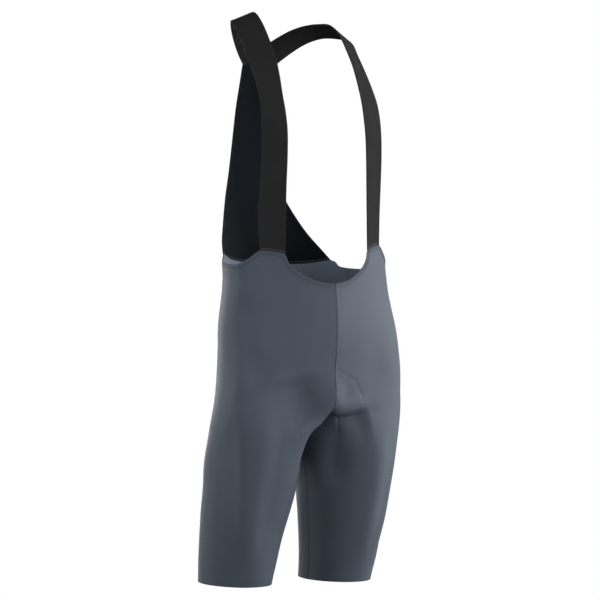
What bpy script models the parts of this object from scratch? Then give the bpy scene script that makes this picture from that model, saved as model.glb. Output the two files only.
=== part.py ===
"""Cycling bib shorts, held open as they are when worn on a general figure.

Metres, +Z up. The front faces -Y and the wearer's left is +X. The origin is midway
between the undersides of the two shoulder straps, where they cross the shoulders.
"""

import bpy
import numpy as np
from mathutils import Vector
from mathutils.bvhtree import BVHTree

COLLECTION = "bib_shorts"

WALL = 0.0015  # stretch knit, with its seam allowances pressed flat
STRAP_WALL = 0.0018
SEAM_GAP = 0.0003
PAD_GAP = 0.0004
PAD_RIDGE_GAP = 0.0024  # more, over the seam under the crotch
PAD_THICKNESS = 0.006
PAD_EDGE_THICKNESS = 0.002
ORIGIN_LIFT = 0.0033  # brings the strap undersides up to height 0

TORSO_ROWS = 10
LEG_ROWS = 16
PANEL_ROWS = 15
STRAP_ROWS = 42
STRAP_COLUMNS = 3
PAD_ROWS = 22
PAD_COLUMNS = 10

# Outer form of the shorts down to the hip, one row per section.
# height, half width, y of the widest line, y of the front, y of the back, front power
# (a power of 2 makes the front half an ellipse, and a lower one draws it to a ridge)
TORSO = (
    (-0.3400, 0.1372, -0.0470, -0.1110, 0.0780, 1.50),
    (-0.3692, 0.1373, -0.0485, -0.1135, 0.0780, 1.50),
    (-0.3983, 0.1395, -0.0520, -0.1147, 0.0770, 1.50),
    (-0.4213, 0.1420, -0.0525, -0.1165, 0.0770, 1.55),
    (-0.4366, 0.1462, -0.0540, -0.1178, 0.0780, 1.60),
    (-0.4519, 0.1492, -0.0575, -0.1183, 0.0800, 1.65),
    (-0.4825, 0.1512, -0.0644, -0.1176, 0.0850, 1.80),
    (-0.5132, 0.1508, -0.0710, -0.1135, 0.0900, 1.95),
    (-0.5438, 0.1531, -0.0695, -0.1118, 0.0900, 2.10),
    (-0.5744, 0.1568, -0.0590, -0.1130, 0.0840, 2.20),
)
SIDE_FROM = 50.0  # degrees from the centre front, where a section starts to round into an ellipse

# Outer form of one leg, an ellipse per section.
# height, x of the centre, y of the centre, half width, half depth
LEG = (
    (-0.5500, 0.0700, -0.0300, 0.0850, 0.0840),
    (-0.6127, 0.0785, -0.0270, 0.0810, 0.0865),
    (-0.6372, 0.0820, -0.0238, 0.0758, 0.0848),
    (-0.6541, 0.0840, -0.0210, 0.0742, 0.0822),
    (-0.6755, 0.0848, -0.0172, 0.0735, 0.0810),
    (-0.6969, 0.0855, -0.0138, 0.0712, 0.0784),
    (-0.7276, 0.0880, -0.0079, 0.0689, 0.0753),
    (-0.7582, 0.0905, -0.0020, 0.0655, 0.0716),
    (-0.7888, 0.0925, 0.0048, 0.0618, 0.0675),
    (-0.8194, 0.0936, 0.0113, 0.0588, 0.0643),
    (-0.8470, 0.0930, 0.0176, 0.0554, 0.0606),
    (-0.8700, 0.0925, 0.0228, 0.0528, 0.0578),
)
HIP_HEIGHT = -0.568  # where the two legs part from the torso
HEM_HEIGHT = -0.8505
HEM_SLOPE = 0.06  # the hems sit lower behind

# Seam under the crotch, from the inseam forwards and then backwards: y, height
CROTCH = (-0.012, -0.630)
CROTCH_FRONT = ((-0.038, -0.625), (-0.066, -0.613), (-0.092, -0.599), (-0.107, -0.585))
CROTCH_BACK = ((0.014, -0.629), (0.038, -0.620), (0.060, -0.603))

# Upper edge of the shorts, by the angle round the waist from the centre front in degrees.
# angle, height
FRONT_TOP = (
    (0.0, -0.3951),
    (10.0, -0.3940),
    (19.0, -0.3898),
    (27.0, -0.3818),
    (34.0, -0.3715),
    (38.5, -0.3590),
    (40.2, -0.3476),
    (46.0, -0.3441),
    (52.0, -0.3420),
    (58.3, -0.3415),
    (63.0, -0.3465),
    (70.0, -0.3549),
    (79.0, -0.3608),
    (90.0, -0.3655),
    (104.0, -0.3690),
    (124.5, -0.3660),
)
BACK_TOP = (
    (128.5, -0.3610),
    (133.0, -0.3550),
    (144.0, -0.3602),
    (156.0, -0.3632),
    (168.0, -0.3646),
    (180.0, -0.3655),
)
STRAP_AT = (6, 9)  # columns of FRONT_TOP between which the strap is sewn on
PANEL_FROM = 17  # column, counted over both tables, where the back panel begins

# The black panel up the back.
# height of its side edge, half width, y of the side edge, y of the middle
BACK_PANEL = (
    (-0.3570, 0.1010, 0.0360, 0.0780),
    (-0.3438, 0.0952, 0.0482, 0.0795),
    (-0.3282, 0.0861, 0.0606, 0.0835),
    (-0.3125, 0.0774, 0.0727, 0.0880),
    (-0.2874, 0.0659, 0.0866, 0.0960),
    (-0.2654, 0.0564, 0.0976, 0.1030),
    (-0.2320, 0.0461, 0.1050, 0.1085),
    (-0.1670, 0.0348, 0.1090, 0.1110),
    (-0.1250, 0.0302, 0.1075, 0.1090),
    (-0.0840, 0.0270, 0.1005, 0.1020),
    (-0.0600, 0.0261, 0.0955, 0.0965),
)
NECK = (0.0, 0.0935, -0.0370)  # bottom of the V between the straps at the back

# One strap, from the shorts over the shoulder to the back panel.
# neck-side edge x, y, height, then arm-side edge x, y, height
STRAP = (
    (0.0767, -0.0920, -0.3475, 0.1109, -0.0733, -0.3417),
    (0.0756, -0.0925, -0.2920, 0.1128, -0.0736, -0.2880),
    (0.0746, -0.0931, -0.2460, 0.1119, -0.0776, -0.2456),
    (0.0732, -0.0942, -0.2016, 0.1113, -0.0805, -0.2011),
    (0.0725, -0.0930, -0.1660, 0.1110, -0.0803, -0.1655),
    (0.0727, -0.0884, -0.1400, 0.1103, -0.0780, -0.1396),
    (0.0736, -0.0814, -0.1141, 0.1105, -0.0705, -0.1136),
    (0.0730, -0.0728, -0.0870, 0.1108, -0.0563, -0.0869),
    (0.0727, -0.0581, -0.0532, 0.1108, -0.0335, -0.0517),
    (0.0727, -0.0433, -0.0305, 0.1110, -0.0174, -0.0303),
    (0.0720, -0.0253, -0.0070, 0.1120, -0.0060, -0.0160),
    (0.0700, -0.0050, 0.0090, 0.1100, 0.0050, -0.0090),
    (0.0632, 0.0205, 0.0115, 0.0985, 0.0225, -0.0058),
    (0.0540, 0.0400, 0.0090, 0.0875, 0.0395, -0.0060),
    (0.0380, 0.0565, 0.0005, 0.0711, 0.0614, -0.0150),
    (0.0220, 0.0730, -0.0130, 0.0540, 0.0785, -0.0310),
    (0.0100, 0.0845, -0.0250, 0.0380, 0.0900, -0.0475),
    (0.0000, 0.0935, -0.0370, 0.0261, 0.0955, -0.0600),
)

# Seat pad, along the seam from the front to the back.
# y, height, half width, drop of its sides for each metre outwards
PAD = (
    (-0.1120, -0.5250, 0.0060, 0.00),
    (-0.1115, -0.5330, 0.0280, 0.00),
    (-0.1110, -0.5450, 0.0420, 0.05),
    (-0.1115, -0.5600, 0.0540, 0.15),
    (-0.1080, -0.5830, 0.0620, 0.35),
    (-0.0920, -0.5990, 0.0640, 0.70),
    (-0.0660, -0.6130, 0.0600, 1.30),
    (-0.0380, -0.6250, 0.0520, 2.50),
    (-0.0120, -0.6300, 0.0480, 3.50),
    (0.0140, -0.6290, 0.0520, 2.50),
    (0.0380, -0.6200, 0.0620, 1.30),
    (0.0600, -0.6030, 0.0740, 0.60),
    (0.0770, -0.5740, 0.0840, 0.20),
    (0.0840, -0.5400, 0.0820, 0.00),
    (0.0850, -0.5150, 0.0680, 0.00),
    (0.0840, -0.5000, 0.0420, 0.00),
    (0.0830, -0.4930, 0.0120, 0.00),
)

# The figure's stance: how much the wearer's right side is raised for each metre outwards.
# height, rise in front, rise behind
STANCE = (
    (0.0400, 0.100, 0.100),
    (-0.0500, 0.097, 0.097),
    (-0.1500, 0.040, 0.050),
    (-0.2500, -0.020, 0.030),
    (-0.3400, -0.045, 0.045),
    (-0.4500, -0.040, 0.010),
    (-0.6000, -0.015, 0.000),
    (-0.9000, 0.000, 0.000),
)
STANCE_FRONT_Y = -0.090
STANCE_BEHIND_Y = 0.0

# base colour, roughness
FINISHES = {
    "slate_knit": ((0.091, 0.109, 0.141, 1.0), 0.75),
    "black_knit": ((0.013, 0.016, 0.021, 1.0), 0.80),
    "charcoal_elastic": ((0.028, 0.028, 0.030, 1.0), 0.70),
    "pad_foam": ((0.035, 0.037, 0.042, 1.0), 0.85),
}


def clear_scene():
    for obj in list(bpy.data.objects):
        bpy.data.objects.remove(obj, do_unlink=True)


def smooth(table, where):
    """The other columns of a table at a value of its first, on one smooth curve through its rows."""
    rows = np.array(table, float)
    rows = rows[np.argsort(rows[:, 0])]
    steps, values = rows[:, 0], rows[:, 1:]
    slopes = np.gradient(values, steps, axis=0)
    where = float(np.clip(where, steps[0], steps[-1]))
    i = int(np.clip(np.searchsorted(steps, where) - 1, 0, len(steps) - 2))
    span = steps[i + 1] - steps[i]
    t = (where - steps[i]) / span
    return (
        values[i] * (2 * t**3 - 3 * t**2 + 1)
        + slopes[i] * span * (t**3 - 2 * t**2 + t)
        + values[i + 1] * (3 * t**2 - 2 * t**3)
        + slopes[i + 1] * span * (t**3 - t**2)
    )


def unit(vectors):
    return vectors / np.maximum(np.linalg.norm(vectors, axis=-1, keepdims=True), 1e-12)


def torso_point(angle, height):
    half_width, widest_y, front_y, back_y, power = smooth(TORSO, height)
    ease = np.clip((angle - SIDE_FROM) / (90 - SIDE_FROM), 0, 1) ** 2
    power += (2 - power) * ease
    across, along = abs(np.sin(np.radians(angle))), np.cos(np.radians(angle))
    if along >= 0:
        x = half_width * across ** (2 / power)
        y = widest_y - (widest_y - front_y) * along ** (2 / power)
    else:
        x = half_width * across
        y = widest_y + (back_y - widest_y) * -along
    return np.array([x, y, height])


def leg_point(turn, height):
    """turn is in degrees from the inner side of the leg, by the front."""
    centre_x, centre_y, half_width, half_depth = smooth(LEG, height)
    x = centre_x - half_width * np.cos(np.radians(turn))
    y = centre_y - half_depth * np.sin(np.radians(turn))
    return np.array([x, y, height])


def half_shorts():
    """Points, four-cornered faces and the front and back face lists of the half at +X.

    The torso is a grid from the centre front to the centre back. The leg is a grid round
    the leg from the inseam, whose first row follows the seam under the crotch and the
    last row of the torso.
    """
    top = FRONT_TOP + BACK_TOP
    columns = len(top) - 1
    side = len(FRONT_TOP) - 1
    torso = np.zeros((TORSO_ROWS + 1, columns + 1, 3))
    for row in range(TORSO_ROWS + 1):
        down = row / TORSO_ROWS
        for column, (angle, edge) in enumerate(top):
            angle += (180 * column / columns - angle) * down
            torso[row, column] = torso_point(angle, edge + (HIP_HEIGHT - edge) * down)
    torso[:, [0, -1], 0] = 0

    first = [CROTCH, *CROTCH_FRONT]
    last = list(CROTCH_BACK)
    parting = [np.array([0, y, height]) for y, height in first]
    parting += list(torso[-1])
    parting += [np.array([0, y, height]) for y, height in last[::-1]]
    around = len(parting)
    leg = np.zeros((LEG_ROWS + 1, around, 3))
    for column, start in enumerate(parting):
        turn = 360 * column / around
        shift = start - leg_point(turn, start[2])
        hem = leg_point(turn, HEM_HEIGHT)
        hem_height = HEM_HEIGHT + HEM_SLOPE * (hem[1] - smooth(LEG, HEM_HEIGHT)[1])
        for row in range(LEG_ROWS + 1):
            down = (row / LEG_ROWS) ** 1.15
            fade = max(0.0, 1 - down / 0.36)
            fade = fade * fade * (3 - 2 * fade)
            height = start[2] + (hem_height - start[2]) * down
            leg[row, column] = leg_point(turn, height) + shift * fade
    torso_ids = np.arange(torso.size // 3).reshape(torso.shape[:2])
    leg_ids = np.zeros(leg.shape[:2], int)
    leg_ids[0, len(first) : len(first) + columns + 1] = torso_ids[-1]
    leg_ids[0, : len(first)] = torso_ids.size + np.arange(len(first))
    leg_ids[0, around - len(last) :] = torso_ids.size + len(first) + np.arange(len(last))
    more = torso_ids.size + len(first) + len(last)
    leg_ids[1:] = more + np.arange(LEG_ROWS * around).reshape(LEG_ROWS, around)
    points = np.zeros((more + LEG_ROWS * around, 3))
    points[leg_ids] = leg
    points[torso_ids] = torso

    pieces = {"front": [], "back": []}
    for row in range(TORSO_ROWS):
        for column in range(columns):
            piece = "front" if column < side else "back"
            pieces[piece].append(
                (
                    torso_ids[row, column],
                    torso_ids[row + 1, column],
                    torso_ids[row + 1, column + 1],
                    torso_ids[row, column + 1],
                )
            )
    for row in range(LEG_ROWS):
        for column in range(around):
            piece = "front" if column < len(first) + side else "back"
            after = (column + 1) % around
            pieces[piece].append(
                (
                    leg_ids[row, column],
                    leg_ids[row + 1, column],
                    leg_ids[row + 1, after],
                    leg_ids[row, after],
                )
            )
    return points, pieces, torso_ids


def relaxed(points, faces, rounds=3, share=0.35):
    """Points drawn towards their neighbours, with free edges kept and the middle plane kept flat."""
    ends = np.array([(face[i], face[(i + 1) % 4]) for face in faces for i in range(4)])
    ends = np.sort(ends, axis=1)
    edges, counts = np.unique(ends, axis=0, return_counts=True)
    middle = np.abs(points[:, 0]) < 1e-6
    fixed = np.zeros(len(points), bool)
    free = edges[counts == 1]
    free = free[~(middle[free[:, 0]] & middle[free[:, 1]])]
    fixed[free.ravel()] = True
    near = np.bincount(edges.ravel(), minlength=len(points))[:, None]
    for _ in range(rounds):
        total = np.zeros_like(points)
        np.add.at(total, edges[:, 0], points[edges[:, 1]])
        np.add.at(total, edges[:, 1], points[edges[:, 0]])
        moved = points + share * (total / near - points)
        moved[fixed] = points[fixed]
        moved[middle] = points[middle]
        points = moved
    return points


def inward(points, faces):
    """For each point, the way to the inner side of a cloth of thickness 1."""
    faces = np.array(faces)
    across = np.cross(
        points[faces[:, 2]] - points[faces[:, 0]], points[faces[:, 3]] - points[faces[:, 1]]
    )
    normals = np.zeros_like(points)
    for corner in range(4):
        np.add.at(normals, faces[:, corner], across)
    normals[np.abs(points[:, 0]) < 1e-6, 0] = 0
    normals = unit(normals)
    lean = np.zeros(len(points))
    count = np.zeros(len(points))
    for corner in range(4):
        ids = faces[:, corner]
        np.add.at(lean, ids, (unit(across) * normals[ids]).sum(axis=1))
        np.add.at(count, ids, 1)
    lean = np.clip(lean / np.maximum(count, 1), 0.6, 1)
    return -normals / lean[:, None]


def trimmed(points, faces, amount):
    """Points with the edges of this piece drawn in by half a seam gap."""
    directed = {(face[i], face[(i + 1) % 4]) for face in faces for i in range(4)}
    outline = [edge for edge in directed if (edge[1], edge[0]) not in directed]
    on_edge = {i for edge in outline for i in edge}
    tangents = {i: np.zeros(3) for i in on_edge}
    inner = {i: [] for i in on_edge}
    for a, b in outline:
        along = unit(points[b] - points[a])
        tangents[a] += along
        tangents[b] += along
    for face in faces:
        centre = points[list(face)].mean(axis=0)
        for i in face:
            if i in on_edge:
                inner[i].append(centre)
    result = points.copy()
    for i in on_edge:
        along = unit(tangents[i])
        way = np.mean(inner[i], axis=0) - points[i]
        way -= along * (way @ along)
        result[i] = points[i] + unit(way) * amount
    middle = np.abs(points[:, 0]) < 1e-6
    corners = {i for edge in outline if middle[edge[0]] != middle[edge[1]] for i in edge}
    for i in on_edge:
        if middle[i] and inner[i]:
            result[i, 0] = np.copysign(amount, np.mean(inner[i], axis=0)[0])
            if i in corners:
                result[i, 1:] += 2 * (result[i, 1:] - points[i, 1:])
            else:
                result[i, 1:] = points[i, 1:]
    return result, outline


def stanced(points):
    points = points.copy()
    for point in points:
        front, behind = smooth(STANCE, point[2])
        share = np.clip((point[1] - STANCE_FRONT_Y) / (STANCE_BEHIND_Y - STANCE_FRONT_Y), 0, 1)
        share = share * share * (3 - 2 * share)
        point[2] += ORIGIN_LIFT - point[0] * (front + (behind - front) * share)
    return points


def add_mesh(name, points, faces, finish):
    mesh = bpy.data.meshes.new(name)
    mesh.from_pydata([tuple(map(float, p)) for p in points], [], [list(map(int, f)) for f in faces])
    mesh.materials.append(finishes[finish])
    mesh.update()
    for polygon in mesh.polygons:
        polygon.use_smooth = True
    obj = bpy.data.objects.new(name, mesh)
    collection.objects.link(obj)
    return obj


def add_cloth(name, points, ways, faces, wall, finish):
    """A closed cloth piece: its outer side, its inner side and the cut edges between them."""
    outer, outline = trimmed(points, faces, SEAM_GAP / 2)
    ways = np.where(np.abs(points[:, :1]) < 1e-6, ways * [0, 1, 1], ways)
    inner = outer + ways * wall
    used = sorted({i for face in faces for i in face})
    place = {i: n for n, i in enumerate(used)}
    half = len(used)
    closed = [[place[i] for i in face] for face in faces]
    closed += [[place[i] + half for i in face[::-1]] for face in faces]
    closed += [[place[b], place[a], place[a] + half, place[b] + half] for a, b in outline]
    return add_mesh(name, stanced(np.vstack([outer[used], inner[used]])), closed, finish)


def mirrored(points, faces):
    return points * [-1, 1, 1], [face[::-1] for face in faces]


def grid_faces(rows, columns, turned=False):
    faces = []
    for row in range(rows - 1):
        for column in range(columns - 1):
            a = row * columns + column
            face = (a, a + 1, a + columns + 1, a + columns)
            faces.append(face[::-1] if turned else face)
    return faces


def back_panel_grid(shorts, ways, torso_ids):
    """The back panel, from the shorts' upper edge to the V at the neck, left to right."""
    seam_ids = torso_ids[0, PANEL_FROM:]
    seam = shorts[seam_ids]
    seam = np.vstack([seam, seam[-2::-1] * [-1, 1, 1]])
    seam_ways = np.vstack([ways[seam_ids], ways[seam_ids][-2::-1] * [-1, 1, 1]])
    low, high = BACK_PANEL[0][0], BACK_PANEL[-1][0]
    across = seam[:, 0] / seam[0, 0]
    grid = np.zeros((PANEL_ROWS + 1, len(seam), 3))
    for row in range(PANEL_ROWS + 1):
        up = row / PANEL_ROWS
        half_width, edge_y, middle_y = smooth(BACK_PANEL, low + (high - low) * up)
        for column, share in enumerate(across):
            top = NECK[2] + (high - NECK[2]) * abs(share)
            x = share * half_width
            y = middle_y + (edge_y - middle_y) * share**2
            z = seam[column, 2] * (1 - up) + top * up
            grid[row, column] = (x, y, z)
    ridge = NECK[1] + (BACK_PANEL[-1][2] - NECK[1]) * np.abs(across)
    fade = np.linspace(0, 1, PANEL_ROWS + 1)
    for row, up in enumerate(fade):
        grid[row] += (seam - grid[0]) * (1 - up) ** 3 if row else 0
        grid[row, :, 1] += (ridge - grid[-1, :, 1]) * up**6 if row < PANEL_ROWS else 0
    grid[0] = seam
    grid[-1, :, 1] = ridge
    return grid, seam_ways


def strap_grid(shorts, torso_ids):
    """The +X strap, from the shorts to the back panel, neck side to arm side."""
    rows = np.array(STRAP, float)
    middle = (rows[:, :3] + rows[:, 3:]) / 2
    length = np.concatenate([[0], np.cumsum(np.linalg.norm(np.diff(middle, axis=0), axis=1))])
    table = np.column_stack([length / length[-1], rows])
    base = shorts[torso_ids[0, STRAP_AT[0] : STRAP_AT[1] + 1]]
    shares = np.linspace(0, 1, STRAP_COLUMNS + 1)
    grid = np.zeros((STRAP_ROWS + 1, STRAP_COLUMNS + 1, 3))
    for row in range(STRAP_ROWS + 1):
        along = row / STRAP_ROWS
        edges = smooth(table, along)
        for column, share in enumerate(shares):
            grid[row, column] = edges[:3] * (1 - share) + edges[3:] * share
    shift = base - grid[0]
    for row in range(6):
        grid[row] += shift * (1 - row / 6) ** 2
    grid[0] = base
    return grid


def pad_solid(shorts, ways, faces):
    """The pad that lies inside the crotch, closed all round and thin at its edge."""
    inner = shorts + ways * WALL
    lining = np.vstack([inner, inner * [-1, 1, 1]])
    count = len(inner)
    polygons = [list(map(int, face)) for face in faces]
    polygons += [[int(i) + count for i in face[::-1]] for face in faces]
    tree = BVHTree.FromPolygons([Vector(p) for p in lining], polygons)
    table = np.array(PAD, float)
    step = np.linalg.norm(np.diff(table[:, :2], axis=0), axis=1)
    length = np.concatenate([[0], np.cumsum(step)])
    table = np.column_stack([length / length[-1], table])
    under = np.zeros((PAD_ROWS + 1, PAD_COLUMNS + 1, 3))
    over = np.zeros_like(under)
    for row in range(PAD_ROWS + 1):
        y, height, half_width, drop = smooth(table, row / PAD_ROWS)
        for column in range(PAD_COLUMNS + 1):
            share = 2 * column / PAD_COLUMNS - 1
            share *= abs(share) ** 0.5
            way = unit(np.array([1, 0, -drop]))
            reach = half_width * abs(share)
            guess = Vector((np.sign(share) * way[0] * reach, y, height + way[2] * reach))
            place, normal, _, _ = tree.find_nearest(guess)
            place, normal = np.array(place), np.array(normal)
            if abs(share) < 1e-6:
                normal[0] = 0
                place[0] = 0
            gap = PAD_GAP * (1 + 4 * min(drop, 1.5)) + PAD_RIDGE_GAP * (1 - abs(share)) ** 2
            under[row, column] = place - unit(normal) * gap
            over[row, column] = unit(normal)
    for _ in range(4):
        over[1:-1, 1:-1] += over[:-2, 1:-1] + over[2:, 1:-1] + over[1:-1, :-2] + over[1:-1, 2:]
        over = unit(over)
    ends = np.minimum(np.arange(PAD_ROWS + 1), np.arange(PAD_ROWS + 1)[::-1]) / 3
    sides = np.minimum(np.arange(PAD_COLUMNS + 1), np.arange(PAD_COLUMNS + 1)[::-1]) / 2
    full = np.clip(ends, 0, 1)[:, None] * np.clip(sides, 0, 1)[None, :]
    thickness = PAD_EDGE_THICKNESS + (PAD_THICKNESS - PAD_EDGE_THICKNESS) * full
    over = under - over * thickness[:, :, None]
    rows, columns = PAD_ROWS + 1, PAD_COLUMNS + 1
    below = grid_faces(rows, columns, turned=True)
    above = [[i + rows * columns for i in face[::-1]] for face in below]
    directed = {(face[i], face[(i + 1) % 4]) for face in below for i in range(4)}
    outline = [edge for edge in directed if (edge[1], edge[0]) not in directed]
    rim = [[b, a, a + rows * columns, b + rows * columns] for a, b in outline]
    return np.vstack([under.reshape(-1, 3), over.reshape(-1, 3)]), below + above + rim


clear_scene()
collection = bpy.data.collections.new(COLLECTION)
bpy.context.scene.collection.children.link(collection)
finishes = {}
for finish_name, (colour, roughness) in FINISHES.items():
    material = bpy.data.materials.new(finish_name)
    material.use_nodes = True
    shader = material.node_tree.nodes["Principled BSDF"]
    shader.inputs["Base Color"].default_value = colour
    shader.inputs["Roughness"].default_value = roughness
    shader.inputs["Metallic"].default_value = 0.0
    finishes[finish_name] = material

shorts, pieces, torso_ids = half_shorts()
every_face = pieces["front"] + pieces["back"]
shorts = relaxed(shorts, every_face)
ways = inward(shorts, every_face)
for piece, faces in pieces.items():
    add_cloth(piece + "_left", shorts, ways, faces, WALL, "slate_knit")
    other, other_faces = mirrored(shorts, faces)
    add_cloth(piece + "_right", other, ways * [-1, 1, 1], other_faces, WALL, "slate_knit")

panel, panel_seam_ways = back_panel_grid(shorts, ways, torso_ids)
panel_rows, panel_columns = panel.shape[:2]
panel_points = panel.reshape(-1, 3)
panel_faces = grid_faces(panel_rows, panel_columns, turned=True)
panel_ways = inward(panel_points, panel_faces)
panel_ways[:panel_columns] = panel_seam_ways
add_cloth("back_panel", panel_points, panel_ways, panel_faces, WALL, "black_knit")

strap = strap_grid(shorts, torso_ids)
strap_rows, strap_columns = strap.shape[:2]
strap_points = strap.reshape(-1, 3)
strap_faces = grid_faces(strap_rows, strap_columns)
strap_ways = inward(strap_points, strap_faces)
strap_ways[:strap_columns] = ways[torso_ids[0, STRAP_AT[0] : STRAP_AT[1] + 1]]
add_cloth("strap_left", strap_points, strap_ways, strap_faces, STRAP_WALL, "charcoal_elastic")
other, other_faces = mirrored(strap_points, strap_faces)
other_ways = strap_ways * [-1, 1, 1]
add_cloth("strap_right", other, other_ways, other_faces, STRAP_WALL, "charcoal_elastic")

pad_points, pad_faces = pad_solid(shorts, ways, every_face)
add_mesh("seat_pad", stanced(pad_points), pad_faces, "pad_foam")
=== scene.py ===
"""The looks of the cycling bib shorts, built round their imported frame.

Metres, +Z up. The front faces -Y and the wearer's left is +X, as in the frame.
"""

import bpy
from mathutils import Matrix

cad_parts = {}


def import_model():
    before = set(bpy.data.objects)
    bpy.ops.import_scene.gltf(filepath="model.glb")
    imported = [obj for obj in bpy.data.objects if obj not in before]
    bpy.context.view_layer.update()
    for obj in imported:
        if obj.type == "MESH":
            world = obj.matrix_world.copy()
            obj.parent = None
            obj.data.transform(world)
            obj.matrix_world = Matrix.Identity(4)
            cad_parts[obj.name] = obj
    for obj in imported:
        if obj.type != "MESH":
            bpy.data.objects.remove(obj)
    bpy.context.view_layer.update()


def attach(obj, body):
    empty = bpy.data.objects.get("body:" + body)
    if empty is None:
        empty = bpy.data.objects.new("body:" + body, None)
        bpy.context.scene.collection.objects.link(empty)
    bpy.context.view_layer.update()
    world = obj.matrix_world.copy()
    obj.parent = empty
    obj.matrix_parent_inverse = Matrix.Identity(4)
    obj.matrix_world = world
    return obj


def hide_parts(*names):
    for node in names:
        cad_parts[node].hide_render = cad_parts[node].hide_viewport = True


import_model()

from types import SimpleNamespace

import bpy
import numpy as np
from mathutils import Vector, noise
from mathutils.bvhtree import BVHTree
from mathutils.kdtree import KDTree

# ---------------------------------------------------------------- sizes shared with the solids

WALL = 0.0015
STRAP_WALL = 0.0018
PAD_GAP = 0.0008
PAD_RIDGE_GAP = 0.0024
PAD_THICKNESS = 0.006
PAD_EDGE_THICKNESS = 0.002
ORIGIN_LIFT = 0.0033

TORSO_ROWS = 10
LEG_ROWS = 16
PANEL_ROWS = 15
STRAP_ROWS = 42
STRAP_COLUMNS = 3
PAD_ROWS = 22
PAD_COLUMNS = 10

# height, half width, y of the widest line, y of the front, y of the back, front power
TORSO = (
    (-0.3400, 0.1372, -0.0470, -0.1110, 0.0780, 1.50),
    (-0.3692, 0.1373, -0.0485, -0.1135, 0.0780, 1.50),
    (-0.3983, 0.1395, -0.0520, -0.1147, 0.0770, 1.50),
    (-0.4213, 0.1420, -0.0525, -0.1165, 0.0770, 1.55),
    (-0.4366, 0.1462, -0.0540, -0.1178, 0.0780, 1.60),
    (-0.4519, 0.1492, -0.0575, -0.1183, 0.0800, 1.65),
    (-0.4825, 0.1512, -0.0644, -0.1176, 0.0850, 1.80),
    (-0.5132, 0.1508, -0.0710, -0.1135, 0.0900, 1.95),
    (-0.5438, 0.1531, -0.0695, -0.1118, 0.0900, 2.10),
    (-0.5744, 0.1568, -0.0590, -0.1130, 0.0840, 2.20),
)
SIDE_FROM = 50.0  # degrees from the centre front, where a section starts to round into an ellipse

# height, x of the centre, y of the centre, half width, half depth
LEG = (
    (-0.5500, 0.0700, -0.0300, 0.0850, 0.0840),
    (-0.6127, 0.0785, -0.0270, 0.0810, 0.0865),
    (-0.6372, 0.0820, -0.0238, 0.0758, 0.0848),
    (-0.6541, 0.0840, -0.0210, 0.0742, 0.0822),
    (-0.6755, 0.0848, -0.0172, 0.0735, 0.0810),
    (-0.6969, 0.0855, -0.0138, 0.0712, 0.0784),
    (-0.7276, 0.0880, -0.0079, 0.0689, 0.0753),
    (-0.7582, 0.0905, -0.0020, 0.0655, 0.0716),
    (-0.7888, 0.0925, 0.0048, 0.0618, 0.0675),
    (-0.8194, 0.0936, 0.0113, 0.0588, 0.0643),
    (-0.8470, 0.0930, 0.0176, 0.0554, 0.0606),
    (-0.8700, 0.0925, 0.0228, 0.0528, 0.0578),
)
HIP_HEIGHT = -0.568  # where the two legs part from the torso
HEM_HEIGHT = -0.8505
HEM_SLOPE = 0.06

# seam under the crotch, from the inseam forwards and then backwards: y, height
CROTCH = (-0.012, -0.630)
CROTCH_FRONT = ((-0.038, -0.625), (-0.066, -0.613), (-0.092, -0.599), (-0.107, -0.585))
CROTCH_BACK = ((0.014, -0.629), (0.038, -0.620), (0.060, -0.603))

# upper edge, by the angle round the waist from the centre front in degrees: angle, height
FRONT_TOP = (
    (0.0, -0.3951),
    (10.0, -0.3940),
    (19.0, -0.3898),
    (27.0, -0.3818),
    (34.0, -0.3715),
    (38.5, -0.3590),
    (40.2, -0.3476),
    (46.0, -0.3441),
    (52.0, -0.3420),
    (58.3, -0.3415),
    (63.0, -0.3465),
    (70.0, -0.3549),
    (79.0, -0.3608),
    (90.0, -0.3655),
    (104.0, -0.3690),
    (124.5, -0.3660),
)
BACK_TOP = (
    (128.5, -0.3610),
    (133.0, -0.3550),
    (144.0, -0.3602),
    (156.0, -0.3632),
    (168.0, -0.3646),
    (180.0, -0.3655),
)
STRAP_AT = (6, 9)
PANEL_FROM = 17

# height of the panel's side edge, half width, y of the side edge, y of the middle
BACK_PANEL = (
    (-0.3570, 0.1010, 0.0360, 0.0780),
    (-0.3438, 0.0952, 0.0482, 0.0795),
    (-0.3282, 0.0861, 0.0606, 0.0835),
    (-0.3125, 0.0774, 0.0727, 0.0880),
    (-0.2874, 0.0659, 0.0866, 0.0960),
    (-0.2654, 0.0564, 0.0976, 0.1030),
    (-0.2320, 0.0461, 0.1050, 0.1085),
    (-0.1670, 0.0348, 0.1090, 0.1110),
    (-0.1250, 0.0302, 0.1075, 0.1090),
    (-0.0840, 0.0270, 0.1005, 0.1020),
    (-0.0600, 0.0261, 0.0955, 0.0965),
)
NECK = (0.0, 0.0935, -0.0370)

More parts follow.
